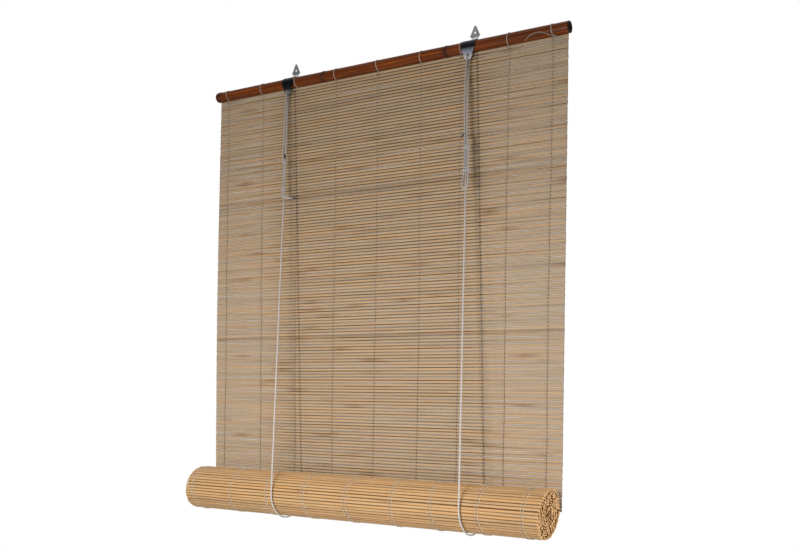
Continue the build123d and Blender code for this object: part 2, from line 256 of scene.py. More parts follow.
class Finish:
    """A node material under construction, with short calls for the nodes it needs."""

    def __init__(self, name):
        self.material = bpy.data.materials.new(name)
        self.material.use_nodes = True
        self.tree = self.material.node_tree
        self.shader = self.tree.nodes["Principled BSDF"]

    def node(self, kind, **settings):
        made = self.tree.nodes.new(kind)
        for key, value in settings.items():
            setattr(made, key, value)
        return made

    def link(self, source, target):
        self.tree.links.new(source, target)

    def put(self, socket, value):
        if isinstance(value, bpy.types.NodeSocket):
            self.link(value, socket)
        else:
            socket.default_value = value

    def value_of(self, name, vector=False):
        made = self.node("ShaderNodeAttribute", attribute_name=name)
        return made.outputs["Vector" if vector else "Fac"]

    def object_place(self):
        return self.node("ShaderNodeTexCoord").outputs["Object"]

    def scaled(self, vector, scale):
        made = self.node("ShaderNodeMapping")
        self.put(made.inputs["Vector"], vector)
        made.inputs["Scale"].default_value = scale
        return made.outputs["Vector"]

    def noise(self, vector, scale, detail=3.0, roughness=0.5):
        made = self.node("ShaderNodeTexNoise")
        self.put(made.inputs["Vector"], vector)
        made.inputs["Scale"].default_value = scale
        made.inputs["Detail"].default_value = detail
        made.inputs["Roughness"].default_value = roughness
        return made.outputs["Fac"]

    def ramp(self, factor, *stops):
        made = self.node("ShaderNodeValToRGB")
        self.put(made.inputs["Fac"], factor)
        put_stops(made.color_ramp, stops)
        return made.outputs["Color"]

    def mix(self, factor, a, b, blend="MIX"):
        made = self.node("ShaderNodeMix", data_type="RGBA", blend_type=blend)
        self.put(made.inputs[0], factor)
        for socket, value in ((made.inputs[6], a), (made.inputs[7], b)):
            self.put(socket, (*value, 1.0) if isinstance(value, tuple) else value)
        return made.outputs[2]

    def math(self, operation, a, b=0.0, c=0.5):
        """a and b, and for MULTIPLY_ADD also c, which is added to their product."""
        made = self.node("ShaderNodeMath", operation=operation)
        for socket, value in zip(made.inputs, (a, b, c)):
            self.put(socket, value)
        return made.outputs[0]

    def parts(self, vector):
        made = self.node("ShaderNodeSeparateXYZ")
        self.put(made.inputs[0], vector)
        return made.outputs

    def bump(self, height, strength, distance):
        made = self.node("ShaderNodeBump")
        made.inputs["Strength"].default_value = strength
        made.inputs["Distance"].default_value = distance
        self.put(made.inputs["Height"], height)
        self.link(made.outputs["Normal"], self.shader.inputs["Normal"])

    def painted_top_shade(self, colour, top):
        """Painted shade: the colour, darkened steadily from the roll up to the cane, to the given share of
        it at the top, standing for the weaker light higher up."""
        drop = cane_z - roll_z
        height = self.math("MULTIPLY_ADD", self.parts(self.object_place())[2], 1 / drop, -roll_z / drop)
        shade = self.ramp(height, (0.1, 1.0), (0.55, (1 + top) / 2), (0.95, top))
        return self.mix(1.0, colour, shade, "MULTIPLY")

    def set(self, **values):
        """Gives the shader's sockets their values, with spaces as underscores in their names."""
        for key, value in values.items():
            self.put(self.shader.inputs[key.replace("_", " ")], value)


def slat_finish(name, pale, mid, dark, gap_shade, middle_gap_shade, outer_gap_shade, cut, rear_cord_shadows=()):
    """Split bamboo: each slat has its own tone, with long fine fibres, golden and brown streaks, joint
    marks across it and a cut end. Painted shade darkens each slat's split edges, standing for the shade in
    the gaps between the slats: by one share between the cords and by another outside them. Along the rear
    cords a narrow painted shadow line runs down the mat, darkest between the slats, and painted shade
    darkens the whole towards the cane."""
    finish = Finish(name)
    grain = finish.value_of("grain", vector=True)
    tone = finish.value_of("tone")
    colour = finish.ramp(tone, (0.0, dark), (0.22, mid), (0.62, pale), (1.0, tuple(c * 1.12 for c in pale)))
    fibres = finish.noise(finish.scaled(grain, (14.0, 1500.0, 1500.0)), 1.0, 4.0, 0.6)
    colour = finish.mix(0.55, colour, finish.ramp(fibres, (0.25, 0.42), (0.62, 1.0)), "MULTIPLY")
    gold = finish.noise(finish.scaled(grain, (5.0, 330.0, 330.0)), 1.0, 2.0)
    colour = finish.mix(finish.ramp(gold, (0.45, 0.0), (0.65, 0.6)), colour,
                        tuple(c * share for c, share in zip(pale, (1.12, 0.88, 0.58))))
    blotches = finish.noise(finish.scaled(grain, (9.0, 60.0, 60.0)), 1.0, 2.0)
    brown = finish.ramp(blotches, (0.60, 0.0), (0.74, 1.0))
    colour = finish.mix(finish.math("MULTIPLY", brown, 0.45), colour, (0.25, 0.12, 0.045))
    joint = finish.value_of("joint")
    colour = finish.mix(finish.math("MULTIPLY", joint, 0.6), colour, (0.22, 0.11, 0.045))
    # painted shade between the slats: each slat's upper and lower edges are darkened, more between the
    # cords than outside them
    edge = finish.ramp(finish.value_of("edge"), (0.52, 0.0), (0.90, 1.0))
    across = finish.math("ABSOLUTE", finish.parts(finish.object_place())[0])
    strength = finish.ramp(across, (0.20, middle_gap_shade), (0.27, outer_gap_shade))
    colour = finish.mix(finish.math("MULTIPLY", edge, strength), colour, gap_shade)
    # painted shadow of the rear cords: a narrow dark line along each, darkest between the slats
    seam = finish.ramp(finish.value_of("edge"), (0.35, 0.18), (0.75, 0.95))
    x, _, z = finish.parts(finish.object_place())
    for place, drift in rear_cord_shadows:
        slope = drift / (cane_z - roll_z)
        line = finish.math("MULTIPLY_ADD", z, slope, -place - slope * cane_z)
        off = finish.math("MULTIPLY", finish.math("ABSOLUTE", finish.math("ADD", x, line)), 1 / 0.004)
        near = finish.math("MULTIPLY", finish.ramp(off, (0.28, 1.0), (0.62, 0.0)), seam)
        colour = finish.mix(near, colour, (0.022, 0.012, 0.008))
    colour = finish.mix(finish.math("MULTIPLY", finish.value_of("end"), 0.75), colour, cut)
    # painted shade: the mat is darkened towards the cane, for the weaker light higher up
    colour = finish.painted_top_shade(colour, 0.66)
    finish.set(Base_Color=colour, Roughness=finish.ramp(fibres, (0.3, 0.50), (0.7, 0.68)))
    finish.shader.inputs["Specular IOR Level"].default_value = 0.22
    finish.bump(fibres, 0.35, 0.0004)
    return finish.material


def cane_finish():
    """Stained and varnished bamboo: long streaks, darker at its joints, under a clear coat."""
    finish = Finish("stained_cane")
    place = finish.object_place()
    streaks = finish.noise(finish.scaled(place, (7.0, 420.0, 420.0)), 1.0, 5.0, 0.62)
    clouds = finish.noise(finish.scaled(place, (16.0, 45.0, 45.0)), 1.0, 3.0)
    colour = finish.ramp(streaks, (0.28, (0.022, 0.005, 0.002)), (0.5, (0.088, 0.019, 0.003)),
                         (0.72, (0.22, 0.054, 0.008)))
    colour = finish.mix(finish.ramp(clouds, (0.45, 0.0), (0.75, 0.55)), colour, (0.062, 0.018, 0.006))
    joint = finish.value_of("joint")
    colour = finish.mix(finish.math("MULTIPLY", joint, 0.85), colour, (0.022, 0.007, 0.004))
    # painted shade: the cut end and the inside of the hollow bore are painted near black
    cut = finish.value_of("cut")
    colour = finish.mix(cut, colour, (0.020, 0.010, 0.006))
    finish.set(Base_Color=colour, Roughness=finish.ramp(clouds, (0.3, 0.34), (0.7, 0.48)))
    finish.shader.inputs["Specular IOR Level"].default_value = 0.06
    finish.shader.inputs["Coat Weight"].default_value = 0.15
    finish.shader.inputs["Coat Roughness"].default_value = 0.13
    finish.bump(streaks, 0.22, 0.0005)
    return finish.material


def clip_with_painted_light(name, lobe, shield, ring, neck, arrow):
    """Plated spring steel with its reflections painted into its colour: the tint goes by height, from the
    bright lobe up the shield to the dark ring, the bright neck and the grey arrow plate, as painted
    highlights and painted shade."""
    finish = Finish(name)
    place = finish.object_place()
    foot, reach = cane_z - 0.030, 0.080
    height = finish.math("MULTIPLY_ADD", finish.parts(place)[2], 1 / reach, -foot / reach)
    haze = finish.noise(place, 110.0, 2.0)
    marks = finish.noise(finish.scaled(place, (700.0, 120.0, 120.0)), 1.0, 2.0)
    # painted reflection: the bright lobe and neck are painted highlights, the dark shield top and ring
    # painted shade
    colour = finish.ramp(height, (0.10, lobe), (0.20, shield), (0.335, ring), (0.53, ring), (0.56, neck),
                         (0.64, neck), (0.68, arrow))
    colour = finish.mix(0.6, colour, finish.ramp(haze, (0.3, 0.45), (0.65, 1.0)), "MULTIPLY")
    finish.set(Base_Color=colour, Metallic=0.7, Roughness=finish.ramp(marks, (0.3, 0.16), (0.75, 0.26)))
    return finish.material


def cord_finish():
    """Round braided cord: two sets of yarns wound opposite ways, each crossing over the other."""
    finish = Finish("braided_cord")
    wound = finish.parts(finish.value_of("wound", vector=True))
    angle = finish.math("ARCTAN2", wound[2], wound[1])
    round_it = finish.math("MULTIPLY", angle, 4.0)
    along = finish.math("MULTIPLY", wound[0], 2 * math.pi / 0.0042)
    one_way = finish.math("SINE", finish.math("ADD", along, round_it))
    other_way = finish.math("SINE", finish.math("SUBTRACT", along, round_it))
    yarns = finish.math("MULTIPLY_ADD", finish.math("MULTIPLY", one_way, other_way), 0.5, 0.5)
    fuzz = finish.noise(finish.object_place(), 900.0, 3.0)
    colour = finish.ramp(yarns, (0.05, (0.24, 0.205, 0.180)), (0.45, (0.54, 0.490, 0.460)),
                         (1.0, (0.64, 0.600, 0.570)))
    colour = finish.mix(0.25, colour, finish.ramp(fuzz, (0.3, 0.72), (0.7, 1.0)), "MULTIPLY")
    # painted shade: the cords are darkened towards the cane, for the weaker light higher up
    colour = finish.painted_top_shade(colour, 0.36)
    colour = finish.mix(finish.value_of("tip"), colour, (0.006, 0.005, 0.004))
    finish.set(Base_Color=colour, Roughness=0.82)
    finish.shader.inputs["Sheen Weight"].default_value = 0.35
    finish.bump(yarns, 0.8, 0.0005)
    return finish.material


def thread_finish(name, shade, pale, recess_shade=None):
    """Two-ply cotton thread, a little grey from dust. If a recess shade is given, the thread is painted
    with it where it passes between the slats, as painted shade."""
    finish = Finish(name)
    wound = finish.parts(finish.value_of("wound", vector=True))
    angle = finish.math("ARCTAN2", wound[2], wound[1])
    along = finish.math("MULTIPLY", wound[0], 2 * math.pi / 0.0016)
    plies = finish.math("SINE", finish.math("ADD", along, finish.math("MULTIPLY", angle, 2.0)))
    dust = finish.noise(finish.object_place(), 60.0, 2.0)
    colour = finish.ramp(plies, (0.0, shade), (0.7, pale))
    colour = finish.mix(0.4, colour, finish.ramp(dust, (0.3, 0.70), (0.7, 1.0)), "MULTIPLY")
    # painted shade where the thread dips between the slats
    if recess_shade:
        y = finish.parts(finish.object_place())[1]
        depth = finish.math("MULTIPLY_ADD", y, 1 / 0.0016, (0.0020 - mat_y) / 0.0016)
        colour = finish.mix(finish.ramp(depth, (0.25, 0.0), (0.5, 1.0)), colour, recess_shade)
    finish.set(Base_Color=colour, Roughness=0.86)
    finish.bump(plies, 0.5, 0.0002)
    return finish.material


def floor_finish():
    """A pale floor with faint wide patches."""
    finish = Finish("pale_floor")
    patches = finish.noise(finish.object_place(), 3.0, 2.0)
    finish.set(Base_Color=finish.ramp(patches, (0.3, 0.80), (0.7, 0.84)), Roughness=0.75)
    return finish.material


hanging_bamboo = slat_finish("hanging_bamboo", (0.44, 0.318, 0.198), (0.37, 0.262, 0.158),
                             (0.23, 0.132, 0.064), (0.045, 0.028, 0.018), 0.96, 0.62,
                             (0.10, 0.060, 0.035), REAR_CORD_SHADOW_LINES)
# The roll's slats are the same bamboo as the hanging mat's, painted paler and more golden as painted light
# where the roll is lit more strongly.
rolled_bamboo_painted_lighter = slat_finish("rolled_bamboo_painted_lighter", (0.55, 0.352, 0.174), (0.47, 0.286, 0.134),
                            (0.31, 0.165, 0.068), (0.14, 0.070, 0.031), 0.66, 0.66,
                            (0.70, 0.42, 0.20))
cane_stain = cane_finish()
# Both clips are the same plated steel: the left is painted with a dark reflection, the right with a bright
# one.
clip_steel_painted_light = {
    "left": clip_with_painted_light("steel_painted_dark_reflection", (0.30, 0.31, 0.33), (0.025, 0.028, 0.034), (0.010, 0.011, 0.013),
                        (0.95, 0.95, 0.96), (0.42, 0.43, 0.44)),
    "right": clip_with_painted_light("steel_painted_bright_reflection", (1.0, 1.0, 1.0), (0.62, 0.69, 0.82), (0.020, 0.022, 0.028),
                         (1.0, 1.0, 1.0), (0.55, 0.56, 0.57)),
}
cord_cotton = cord_finish()
thread_cotton = thread_finish("cotton_thread", (0.20, 0.165, 0.130), (0.40, 0.345, 0.285),
                              (0.075, 0.052, 0.036))
# The roll's threads are the mat's threads painted paler, as painted light where the roll is lit more
# strongly.
roll_thread_painted_lighter = thread_finish("roll_thread", (0.40, 0.310, 0.220), (0.78, 0.650, 0.500))


# ---- bamboo slats ----
def make_bars(name, y, z, angle, left, right, heights, thicknesses, stations, tones, joints, material):
    """Slats as bars along X. Each has a section like a rounded strip, |u/a|^3 + |w/b|^2.6 = 1, whose
    width lies along the angle's tangent and whose thickness points outwards. It swells at its joints.
    y, z and angle hold one row for each slat and one column for each station along it, and joints the
    places of its joints. The slats' values for their finish are kept on their points."""
    count = len(y)
    t = (np.arange(SLAT_SIDES) + 0.5) / SLAT_SIDES * 2 * math.pi
    width_share = np.sign(np.cos(t)) * np.abs(np.cos(t)) ** (2 / 3)
    thick_share = np.sign(np.sin(t)) * np.abs(np.sin(t)) ** (2 / 2.6)
    share = np.concatenate([[0.0], np.linspace(0.0012, 0.9988, stations - 2), [1.0]])[None, :]
    x = left[:, None] + (right - left)[:, None] * share
    swelling = np.exp(-(((x[:, :, None] - joints[:, None, :]) / 0.004) ** 2)).sum(-1)
    half_height = heights / 2 * (1 + 0.05 * swelling)
    half_thick = thicknesses / 2 * (1 + 0.22 * swelling)
    u = half_height[:, :, None] * width_share
    w = half_thick[:, :, None] * thick_share
    sin, cos = np.sin(angle)[:, :, None], np.cos(angle)[:, :, None]
    points = np.empty((count, stations, SLAT_SIDES, 3))
    points[..., 0] = x[:, :, None]
    points[..., 1] = y[:, :, None] - sin * u + cos * w
    points[..., 2] = z[:, :, None] - cos * u - sin * w
    grain = np.empty_like(points)
    grain[..., 0] = x[:, :, None] + rng.uniform(0, 40, count)[:, None, None]
    grain[..., 1] = w
    grain[..., 2] = u + np.arange(count)[:, None, None] * 0.05
    edge = np.broadcast_to(np.abs(width_share), points.shape[:-1])
    joint = np.broadcast_to(np.clip(swelling, 0, 1)[:, :, None], points.shape[:-1])
    tone = np.broadcast_to(tones[:, None, None], points.shape[:-1])
    end = np.zeros(points.shape[:-1])
    end[:, [0, -1]] = 1.0
    one = grid_faces(stations, SLAT_SIDES)
    cap = cap_faces(SLAT_SIDES)
    one = np.concatenate([one, cap[:, ::-1], cap + (stations - 1) * SLAT_SIDES])
    starts = np.arange(count)[:, None, None] * stations * SLAT_SIDES
    faces = (one[None] + starts).reshape(-1, 4).tolist()
    piece = add_piece(name, points, faces, material, "slats", grain=grain.reshape(-1, 3),
                      edge=edge.ravel(), joint=joint.ravel(), tone=tone.ravel(), end=end.ravel())
    outward(piece)
    return piece


def wander(count, stations, size, reach):
    """Smooth random wandering along each slat: random values at reach stations, joined by cosines."""
    knots = rng.normal(0, size, (count, reach))
    place = np.linspace(0, reach - 1.001, stations)
    low = place.astype(int)
    part = (1 - np.cos((place - low) * math.pi)) / 2
    return knots[:, low] * (1 - part) + knots[:, low + 1] * part


def joint_places(count):
    """Three bamboo joints on each slat, about 28 cm apart, as on the culm it was split from. The last
    often falls past the slat's end."""
    first = rng.uniform(-0.38, -0.10, count)
    second = first + rng.uniform(0.26, 0.30, count)
    third = first + rng.uniform(0.54, 0.60, count)
    return np.stack([first, second, third], -1)


def slat_tones(count):
    """One tone from 0, dark, to 1, pale, for each slat: most are alike and a few are much darker."""
    tones = rng.normal(0.55, 0.12, count)
    dark = rng.random(count) < 0.015
    tones[dark] = rng.uniform(0.05, 0.25, dark.sum())
    return np.clip(tones, 0, 1)


def make_hanging_slats():
    """The flat part of the mat: slats one below the other, each slightly bent and out of line. The
    mat's sides bow outwards a little on the way down, and its top slat is the tallest."""
    count, stations = SLAT_STEPS + 1, 25
    line = mat_top - SLAT_HEIGHT / 2 - np.arange(count) * slat_pitch
    z = line[:, None] + wander(count, stations, 0.00008, 7)
    y = mat_y + wander(count, stations, 0.00015, 6)
    angle = rng.normal(0, 0.05, count)[:, None] + wander(count, stations, 0.03, 6)
    down = (mat_top - line) / (mat_top - mat_foot)
    left = slats_low[0] + np.interp(down, [0, 0.25, 0.55, 1], [0.0050, 0.0015, -0.0015, 0.0]) \
        + rng.uniform(-0.0002, 0.0003, count)
    right = slats_high[0] + np.interp(down, [0, 0.5, 1], [0.0022, 0.0006, -0.0010]) \
        + rng.uniform(-0.0003, 0.0002, count)
    share = np.abs(np.linspace(-1.0, 1.0, stations))
    width = np.interp(share, [0.50, 0.66], [slat_pitch - MIDDLE_GAP, slat_pitch - OUTER_GAP])
    heights = width[None, :] - np.abs(rng.normal(0, 0.00006, count))[:, None]
    taller = 0.0008
    heights[0] += taller
    z[0] += taller / 2
    thick = np.full((count, stations), SLAT_THICKNESS) * rng.uniform(0.9, 1.0, count)[:, None]
    piece = make_bars("hanging_mat", y, z, angle, left, right, heights, thick, stations,
                      slat_tones(count), joint_places(count), hanging_bamboo)
    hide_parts("hanging_slats")
    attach(piece, "headrail")
    shorten(piece)


def shorten(piece):
    """Gives a hanging piece a mesh of its own."""
    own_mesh(piece)


# ---- the roll ----
def roll_drop(turned):
    """How far the wound band has come in from its outer radius after an angle from the mat."""
    turns = turned / (2 * math.pi)
    return np.where(turns < 1, FIRST_TURN_DROP * turns, FIRST_TURN_DROP + LATER_TURN_DROP * (turns - 1))


TURNED = np.linspace(0, 2 * math.pi * 10.5, 4000)
BAND = band_radius - roll_drop(TURNED)
WOUND_LENGTH = np.concatenate([[0.0], np.cumsum((BAND[1:] + BAND[:-1]) / 2 * np.diff(TURNED))])


def on_roll(length):
    """The angle from the mat and the radius of the wound band at a length along it."""
    turned = np.interp(length, WOUND_LENGTH, TURNED)
    return turned, band_radius - roll_drop(turned)


def make_rolled_slats():
    """The slats of the roll, laid along a spiral that begins where the hanging mat ends. Past the
    first turn they lie looser, thicker and further out of line."""
    last = WOUND_LENGTH[np.searchsorted(-BAND, -CORE_RADIUS)]
    count, stations = int(last / slat_pitch), 17
    length = (np.arange(count) + 0.5) * slat_pitch
    turned, radius = on_roll(length)
    inner = np.clip(turned / (2 * math.pi) - 0.9, 0, 1)
    loose = rng.normal(0, 0.00045, count) * inner
    radius = radius[:, None] + loose[:, None] - np.abs(wander(count, stations, 0.00028, 5))
    angle = turned[:, None] + wander(count, stations, 0.006, 5)
    y = roll_y + radius * np.cos(angle)
    z = roll_z - radius * np.sin(angle)
    tilt = angle + rng.normal(0, 0.05, count)[:, None]
    tilt = tilt + rng.normal(0, 0.10, count)[:, None] * inner[:, None]
    shift = -0.0045 * (1 - np.cos(turned + math.radians(70))) + 0.0012 * np.sin(turned * 0.83 + 0.4) * inner
    left = roll_low[0] + 0.0016 + shift + rng.uniform(0, 0.0012, count) * (1 + inner)
    right = roll_high[0] - 0.0010 + shift - rng.uniform(0, 0.0012, count) * (1 + 2 * inner)
    heights = (slat_pitch - np.abs(rng.normal(0.00025, 0.00030, count)))[:, None] * np.ones(stations)
    thick = SLAT_THICKNESS * (rng.uniform(0.9, 1.05, count) + 0.50 * inner)[:, None] * np.ones(stations)
    piece = make_bars("rolled_mat", y, z, tilt, left, right, heights, thick, stations,
                      slat_tones(count), joint_places(count), rolled_bamboo_painted_lighter)
    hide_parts("mat_roll")
    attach(piece, "roll")


# ---- warp threads ----
def weave(steps):
    """Where a thread runs as it twists with its partner: outwards at one slat and inwards at the next,
    with a flat crest over each slat, and sideways as it crosses between them."""
    phase = np.arange(steps * WEAVE_SAMPLES + 1) / WEAVE_SAMPLES * math.pi
    crest = np.cos(phase)
    out = np.sign(crest) * np.abs(crest) ** 0.55
    return phase / math.pi, out, np.sin(phase)


def make_warps():
    """Each column's two threads, in front of and behind the slats and crossing between them."""
    radius = THREAD_RADIUS * 1.1
    half = SLAT_THICKNESS / 2 + radius * 0.85
    steps, out, across = weave(SLAT_STEPS)
    for number, x in enumerate(COLUMNS, start=1):
        z = mat_top - SLAT_HEIGHT / 2 - steps * slat_pitch
        drift = 0.0008 * np.sin(z * 9.0 + number) + 0.0004 * np.sin(z * 41.0 + number * 2.1)
        top_drift, foot_drift = TOP_DRIFT[number - 1], FOOT_DRIFT[number - 1]
        drift += np.interp(steps / SLAT_STEPS, [0, 1], [top_drift, foot_drift])
        paths = [np.stack([x + drift + side * across * radius * 1.2, mat_y + side * out * half, z], -1)
                 for side in (-1, 1)]
        piece = thread_mesh(f"warp_{number}", paths, radius, thread_cotton)
        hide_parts(f"warp_threads_{number}")
        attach(piece, "headrail")
        shorten(piece)


def make_roll_threads():
    """The same threads going on round the roll's outer turn. Its wider bend pulls each column's two
    threads apart, and each lies over the slats and dips between them."""
    thread = THREAD_RADIUS * 1.45
    half = SLAT_THICKNESS / 2 + thread * 0.85
    turn_slats = int(2 * math.pi * band_radius / slat_pitch * 1.1)
    steps, out, _ = weave(turn_slats)
    turned, radius = on_roll((steps + 0.5) * slat_pitch)
    r = radius + np.abs(out) * half
    paths = []
    for number, x in enumerate(COLUMNS):
        drift = FOOT_DRIFT[number] + 0.0018 * np.sin(turned * 1.3 + number * 1.9)
        apart = 0.0030 * np.clip(turned / 0.8, 0, 1) + 0.0007 * np.sin(turned * 3.1 + number)
        for side in (-1, 1):
            paths.append(np.stack([x + drift + side * apart - 0.0030 * (1 - np.cos(turned)),
                                   roll_y + r * np.cos(turned), roll_z - r * np.sin(turned)], -1))
    piece = thread_mesh("roll_threads", paths, thread, roll_thread_painted_lighter)
    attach(piece, "roll")


# ---- head cane ----
def culm(x):
    """The culm's radius at places along it, and how much of a joint's dark colour each takes. The
    radius waves a little, and at each joint it rises in a double ridge with a groove between."""
    radius = CANE_RADIUS - 0.00012 + 0.00008 * np.sin(x * 23.0) + 0.00006 * np.sin(x * 61.0 + 1.0)
    joint = np.zeros_like(x)
    for place in CANE_JOINTS:
        d = x - place
        radius += 0.00085 * np.exp(-((d / 0.0017) ** 2)) + 0.0005 * np.exp(-(((d - 0.0042) / 0.0012) ** 2))
        radius -= 0.0004 * np.exp(-(((d - 0.0025) / 0.0007) ** 2))
        joint += np.exp(-(((d - 0.0024) / 0.0016) ** 2)) + 0.6 * np.exp(-(((d + 0.002) / 0.0020) ** 2))
        joint += 0.35 * np.exp(-((d / 0.011) ** 2))
    return radius, joint


def make_cane():
    """A bamboo culm, turned round its axis and slightly oval, with a rounded left end and a right end
    cut across its bore."""
    left, right = cane_low[0], cane_high[0]
    fine = [np.linspace(j - 0.009, j + 0.009, 37) for j in CANE_JOINTS]
    x = np.unique(np.concatenate([np.linspace(left, right, 240), *fine]).clip(left, right))
    radius, joint = culm(x)
    round_end = 0.0035
    end = np.clip((x - left) / round_end, 0, 1)
    radius = radius - round_end * (1 - np.sqrt(1 - (1 - end) ** 2))
    # across the left end, along the culm, and round the cut end into the bore
    close = np.linspace(0.02, 1, 5)[:-1]
    bore_floor = CANE_JOINTS[-1] + 0.004
    rim = 0.0004
    path_x = np.concatenate([np.full(4, left), x[:-1], [right - rim, right, right, right - rim],
                             np.linspace(right - 0.004, bore_floor, 12), np.full(4, bore_floor)])
    path_r = np.concatenate([radius[0] * close, radius[:-1],
                             [radius[-1], radius[-1] - rim, BORE_RADIUS + rim, BORE_RADIUS],
                             np.full(12, BORE_RADIUS), BORE_RADIUS * close[::-1]])
    rows = len(path_x)
    cut = np.zeros(rows)
    cut[4 + len(x) - 1:] = 1.0
    joints = np.concatenate([np.full(4, 0.3), joint[:-1], np.zeros(20)])
    turn = np.arange(CANE_SIDES) / CANE_SIDES * 2 * math.pi
    r = path_r[:, None] * (1 + 0.006 * np.sin(turn * 2 + 0.6))[None, :]
    points = np.stack([np.repeat(path_x[:, None], CANE_SIDES, 1), cane_y + r * np.cos(turn),
                       cane_z + r * np.sin(turn)], -1)
    cap = cap_faces(CANE_SIDES)
    faces = np.concatenate([grid_faces(rows, CANE_SIDES), cap[:, ::-1], cap + (rows - 1) * CANE_SIDES])
    piece = add_piece("stained_cane", points, faces.tolist(), cane_stain, "cane",
                      joint=np.repeat(np.clip(joints, 0, 1), CANE_SIDES), cut=np.repeat(cut, CANE_SIDES))
    outward(piece)
    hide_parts("head_cane")
    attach(piece, "headrail")


def make_ties():
    """At each column a thread goes twice round the cane and ends in a small knot under it, with two
    short ends."""
    ring = CANE_RADIUS + THREAD_RADIUS * 0.9
    turn = np.linspace(0, 2 * 2 * math.pi, 192)
    for number, column in enumerate(COLUMNS, start=1):
        x = column + TOP_DRIFT[number - 1]
        side = 1 if number % 2 else -1
        slant = 0.0009 * side * np.cos(turn) + (turn / turn[-1] - 0.5) * 0.0013 * side
        loop = np.stack([x + slant, cane_y + ring * np.sin(turn), cane_z - ring * np.cos(turn)], -1)
        under = cane_z - ring - 0.0004
        t = np.linspace(0, 2 * math.pi, 40)
        knot = np.stack([x + 0.0010 * np.sin(2 * t), cane_y - 0.0006 + 0.0008 * np.cos(3 * t),
                         under + 0.0006 * np.sin(t)], -1)
        ends = []
        for aside in (-1, 1):
            reach = rng.uniform(0.004, 0.009)
            s = np.linspace(0, 1, 10)
            ends.append(np.stack([x + aside * (0.0006 + s * 0.0028), cane_y - 0.0015 - 0.0022 * np.sqrt(s),
                                  under - s * reach], -1))
        paths = [loop, knot, *ends]
        if number == len(COLUMNS):
            paths += loose_threads(x, ring)
        piece = thread_mesh(f"tie_{number}", paths, THREAD_RADIUS, thread_cotton)
        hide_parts(f"cane_tie_{number}")
        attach(piece, "headrail")


def loose_threads(x, ring):
    """The last tie's spare thread: a slack arc along the cane's front and two ends beside it."""
    s = np.linspace(0, 1, 40)
    below = np.radians(-72 + 60 * np.sin(s * math.pi) ** 0.8)
    r = ring + 0.0004 + 0.0008 * np.sin(s * math.pi)
    arc = np.stack([x - 0.052 * s, cane_y - r * np.cos(below), cane_z + r * np.sin(below)], -1)
    ends = []
    for aside, reach in ((0.027, 0.015), (0.017, 0.021)):
        ends.append(np.stack([x + aside * s, cane_y - 0.0035 - 0.0012 * np.sin(s * 5),
                              cane_z - ring + 0.0008 - reach * s ** 1.4], -1))
    return [arc, *ends]


# ---- lift cords ----
cord_top = cane_z - CORD_START
lean = math.asin(CORD_LEAN / (cord_top - roll_z))
sling_radius = (sling_high[1] - sling_low[1]) / 2 - CORD_RADIUS
centre_down = (cord_top - roll_z) / math.cos(lean)      # from the cord's top to beside the roll's axis


def find_legs():
    """The cords' places across the blind's thickness where they leave the clips, from the frame."""
    eye_low, eye_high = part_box("cord_eye_turn_left")
    rear_low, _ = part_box("cord_rear_end_left")
    return eye_high[1] - CORD_RADIUS, eye_low[1] + CORD_RADIUS, rear_low[1] + CORD_RADIUS


back_leg_y, front_leg_y, rear_leg_y = find_legs()


def leaning(x, y, down):
    """A point of a cord's own plane, which leans sideways below the clip. down is a distance."""
    return np.array([x + down * math.sin(lean), y, cord_top - down * math.cos(lean)])


def touch(y, side):
    """Where the straight cord from (y, top) meets the circle that it makes round the roll, and the
    angle of that place round the roll."""
    centre = np.array([roll_y, centre_down])
    to_point = np.array([y, 0.0]) - centre
    base = math.atan2(to_point[1], to_point[0])
    angle = base + side * math.acos(sling_radius / np.linalg.norm(to_point))
    return centre[0] + sling_radius * math.cos(angle), centre[1] + sling_radius * math.sin(angle), angle


front_touch = touch(back_leg_y, -1)
rear_touch = touch(rear_leg_y, 1)


def beside(x, u, v, height):
    """A point beside the front cord: u sideways and v in front, at a height from the cane's axis."""
    top, foot = leaning(x, back_leg_y, 0.0), leaning(x, *front_touch[:2])
    share = (cane_z + height - top[2]) / (foot[2] - top[2])
    return top + (foot - top) * share + np.array([u, -v, 0.0])


def make_strand(side, x, name, start_y, touched):
    """A straight hanging stretch of cord, with a mesh of its own."""
    start, end = leaning(x, start_y, 0.0), leaning(x, *touched[:2])
    s = np.linspace(0, 1, 160)[:, None]
    path = start + (end - start) * s
    piece = cord_mesh(f"{name}_cord_{side}", [path])
    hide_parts(f"cord_{name}_{side}")
    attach(piece, "headrail")
    shorten(piece)


def make_sling(side, x):
    """The stretch under the roll: an arc round the roll's axis between the two straight stretches."""
    start, end = front_touch[2], rear_touch[2]
    while end > start:
        end -= 2 * math.pi
    if start - end > 1.5 * math.pi:
        end += 2 * math.pi
    angle = np.linspace(start, end, 90)
    y = roll_y + sling_radius * np.cos(angle)
    down = centre_down + sling_radius * np.sin(angle)
    path = np.stack([x + down * math.sin(lean), y, cord_top - down * math.cos(lean)], -1)
    piece = cord_mesh(f"sling_cord_{side}", [path])
    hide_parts(f"cord_sling_{side}")
    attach(piece, "sling")


def make_eye_turn(side, x):
    """The cord's turn over the rim of the clip's eye: up, half round and down."""
    _, turn_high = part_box(f"cord_eye_turn_{side}")
    bend = (back_leg_y - front_leg_y) / 2
    rim = turn_high[2] - CORD_RADIUS - bend
    angle = np.linspace(0, math.pi, 24)
    arc = np.stack([np.full(24, x), (back_leg_y + front_leg_y) / 2 + bend * np.cos(angle),
                    rim + bend * np.sin(angle)], -1)
    legs = np.linspace(0, 1, 12)[:-1, None]
    up = np.array([x, back_leg_y, cord_top]) * (1 - legs) + arc[0] * legs
    down = arc[-1] * legs + np.array([x, front_leg_y, cord_top]) * (1 - legs)
    piece = cord_mesh(f"eye_turn_cord_{side}", [np.concatenate([up, arc, down[::-1]])])
    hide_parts(f"cord_eye_turn_{side}")
    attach(piece, "headrail")


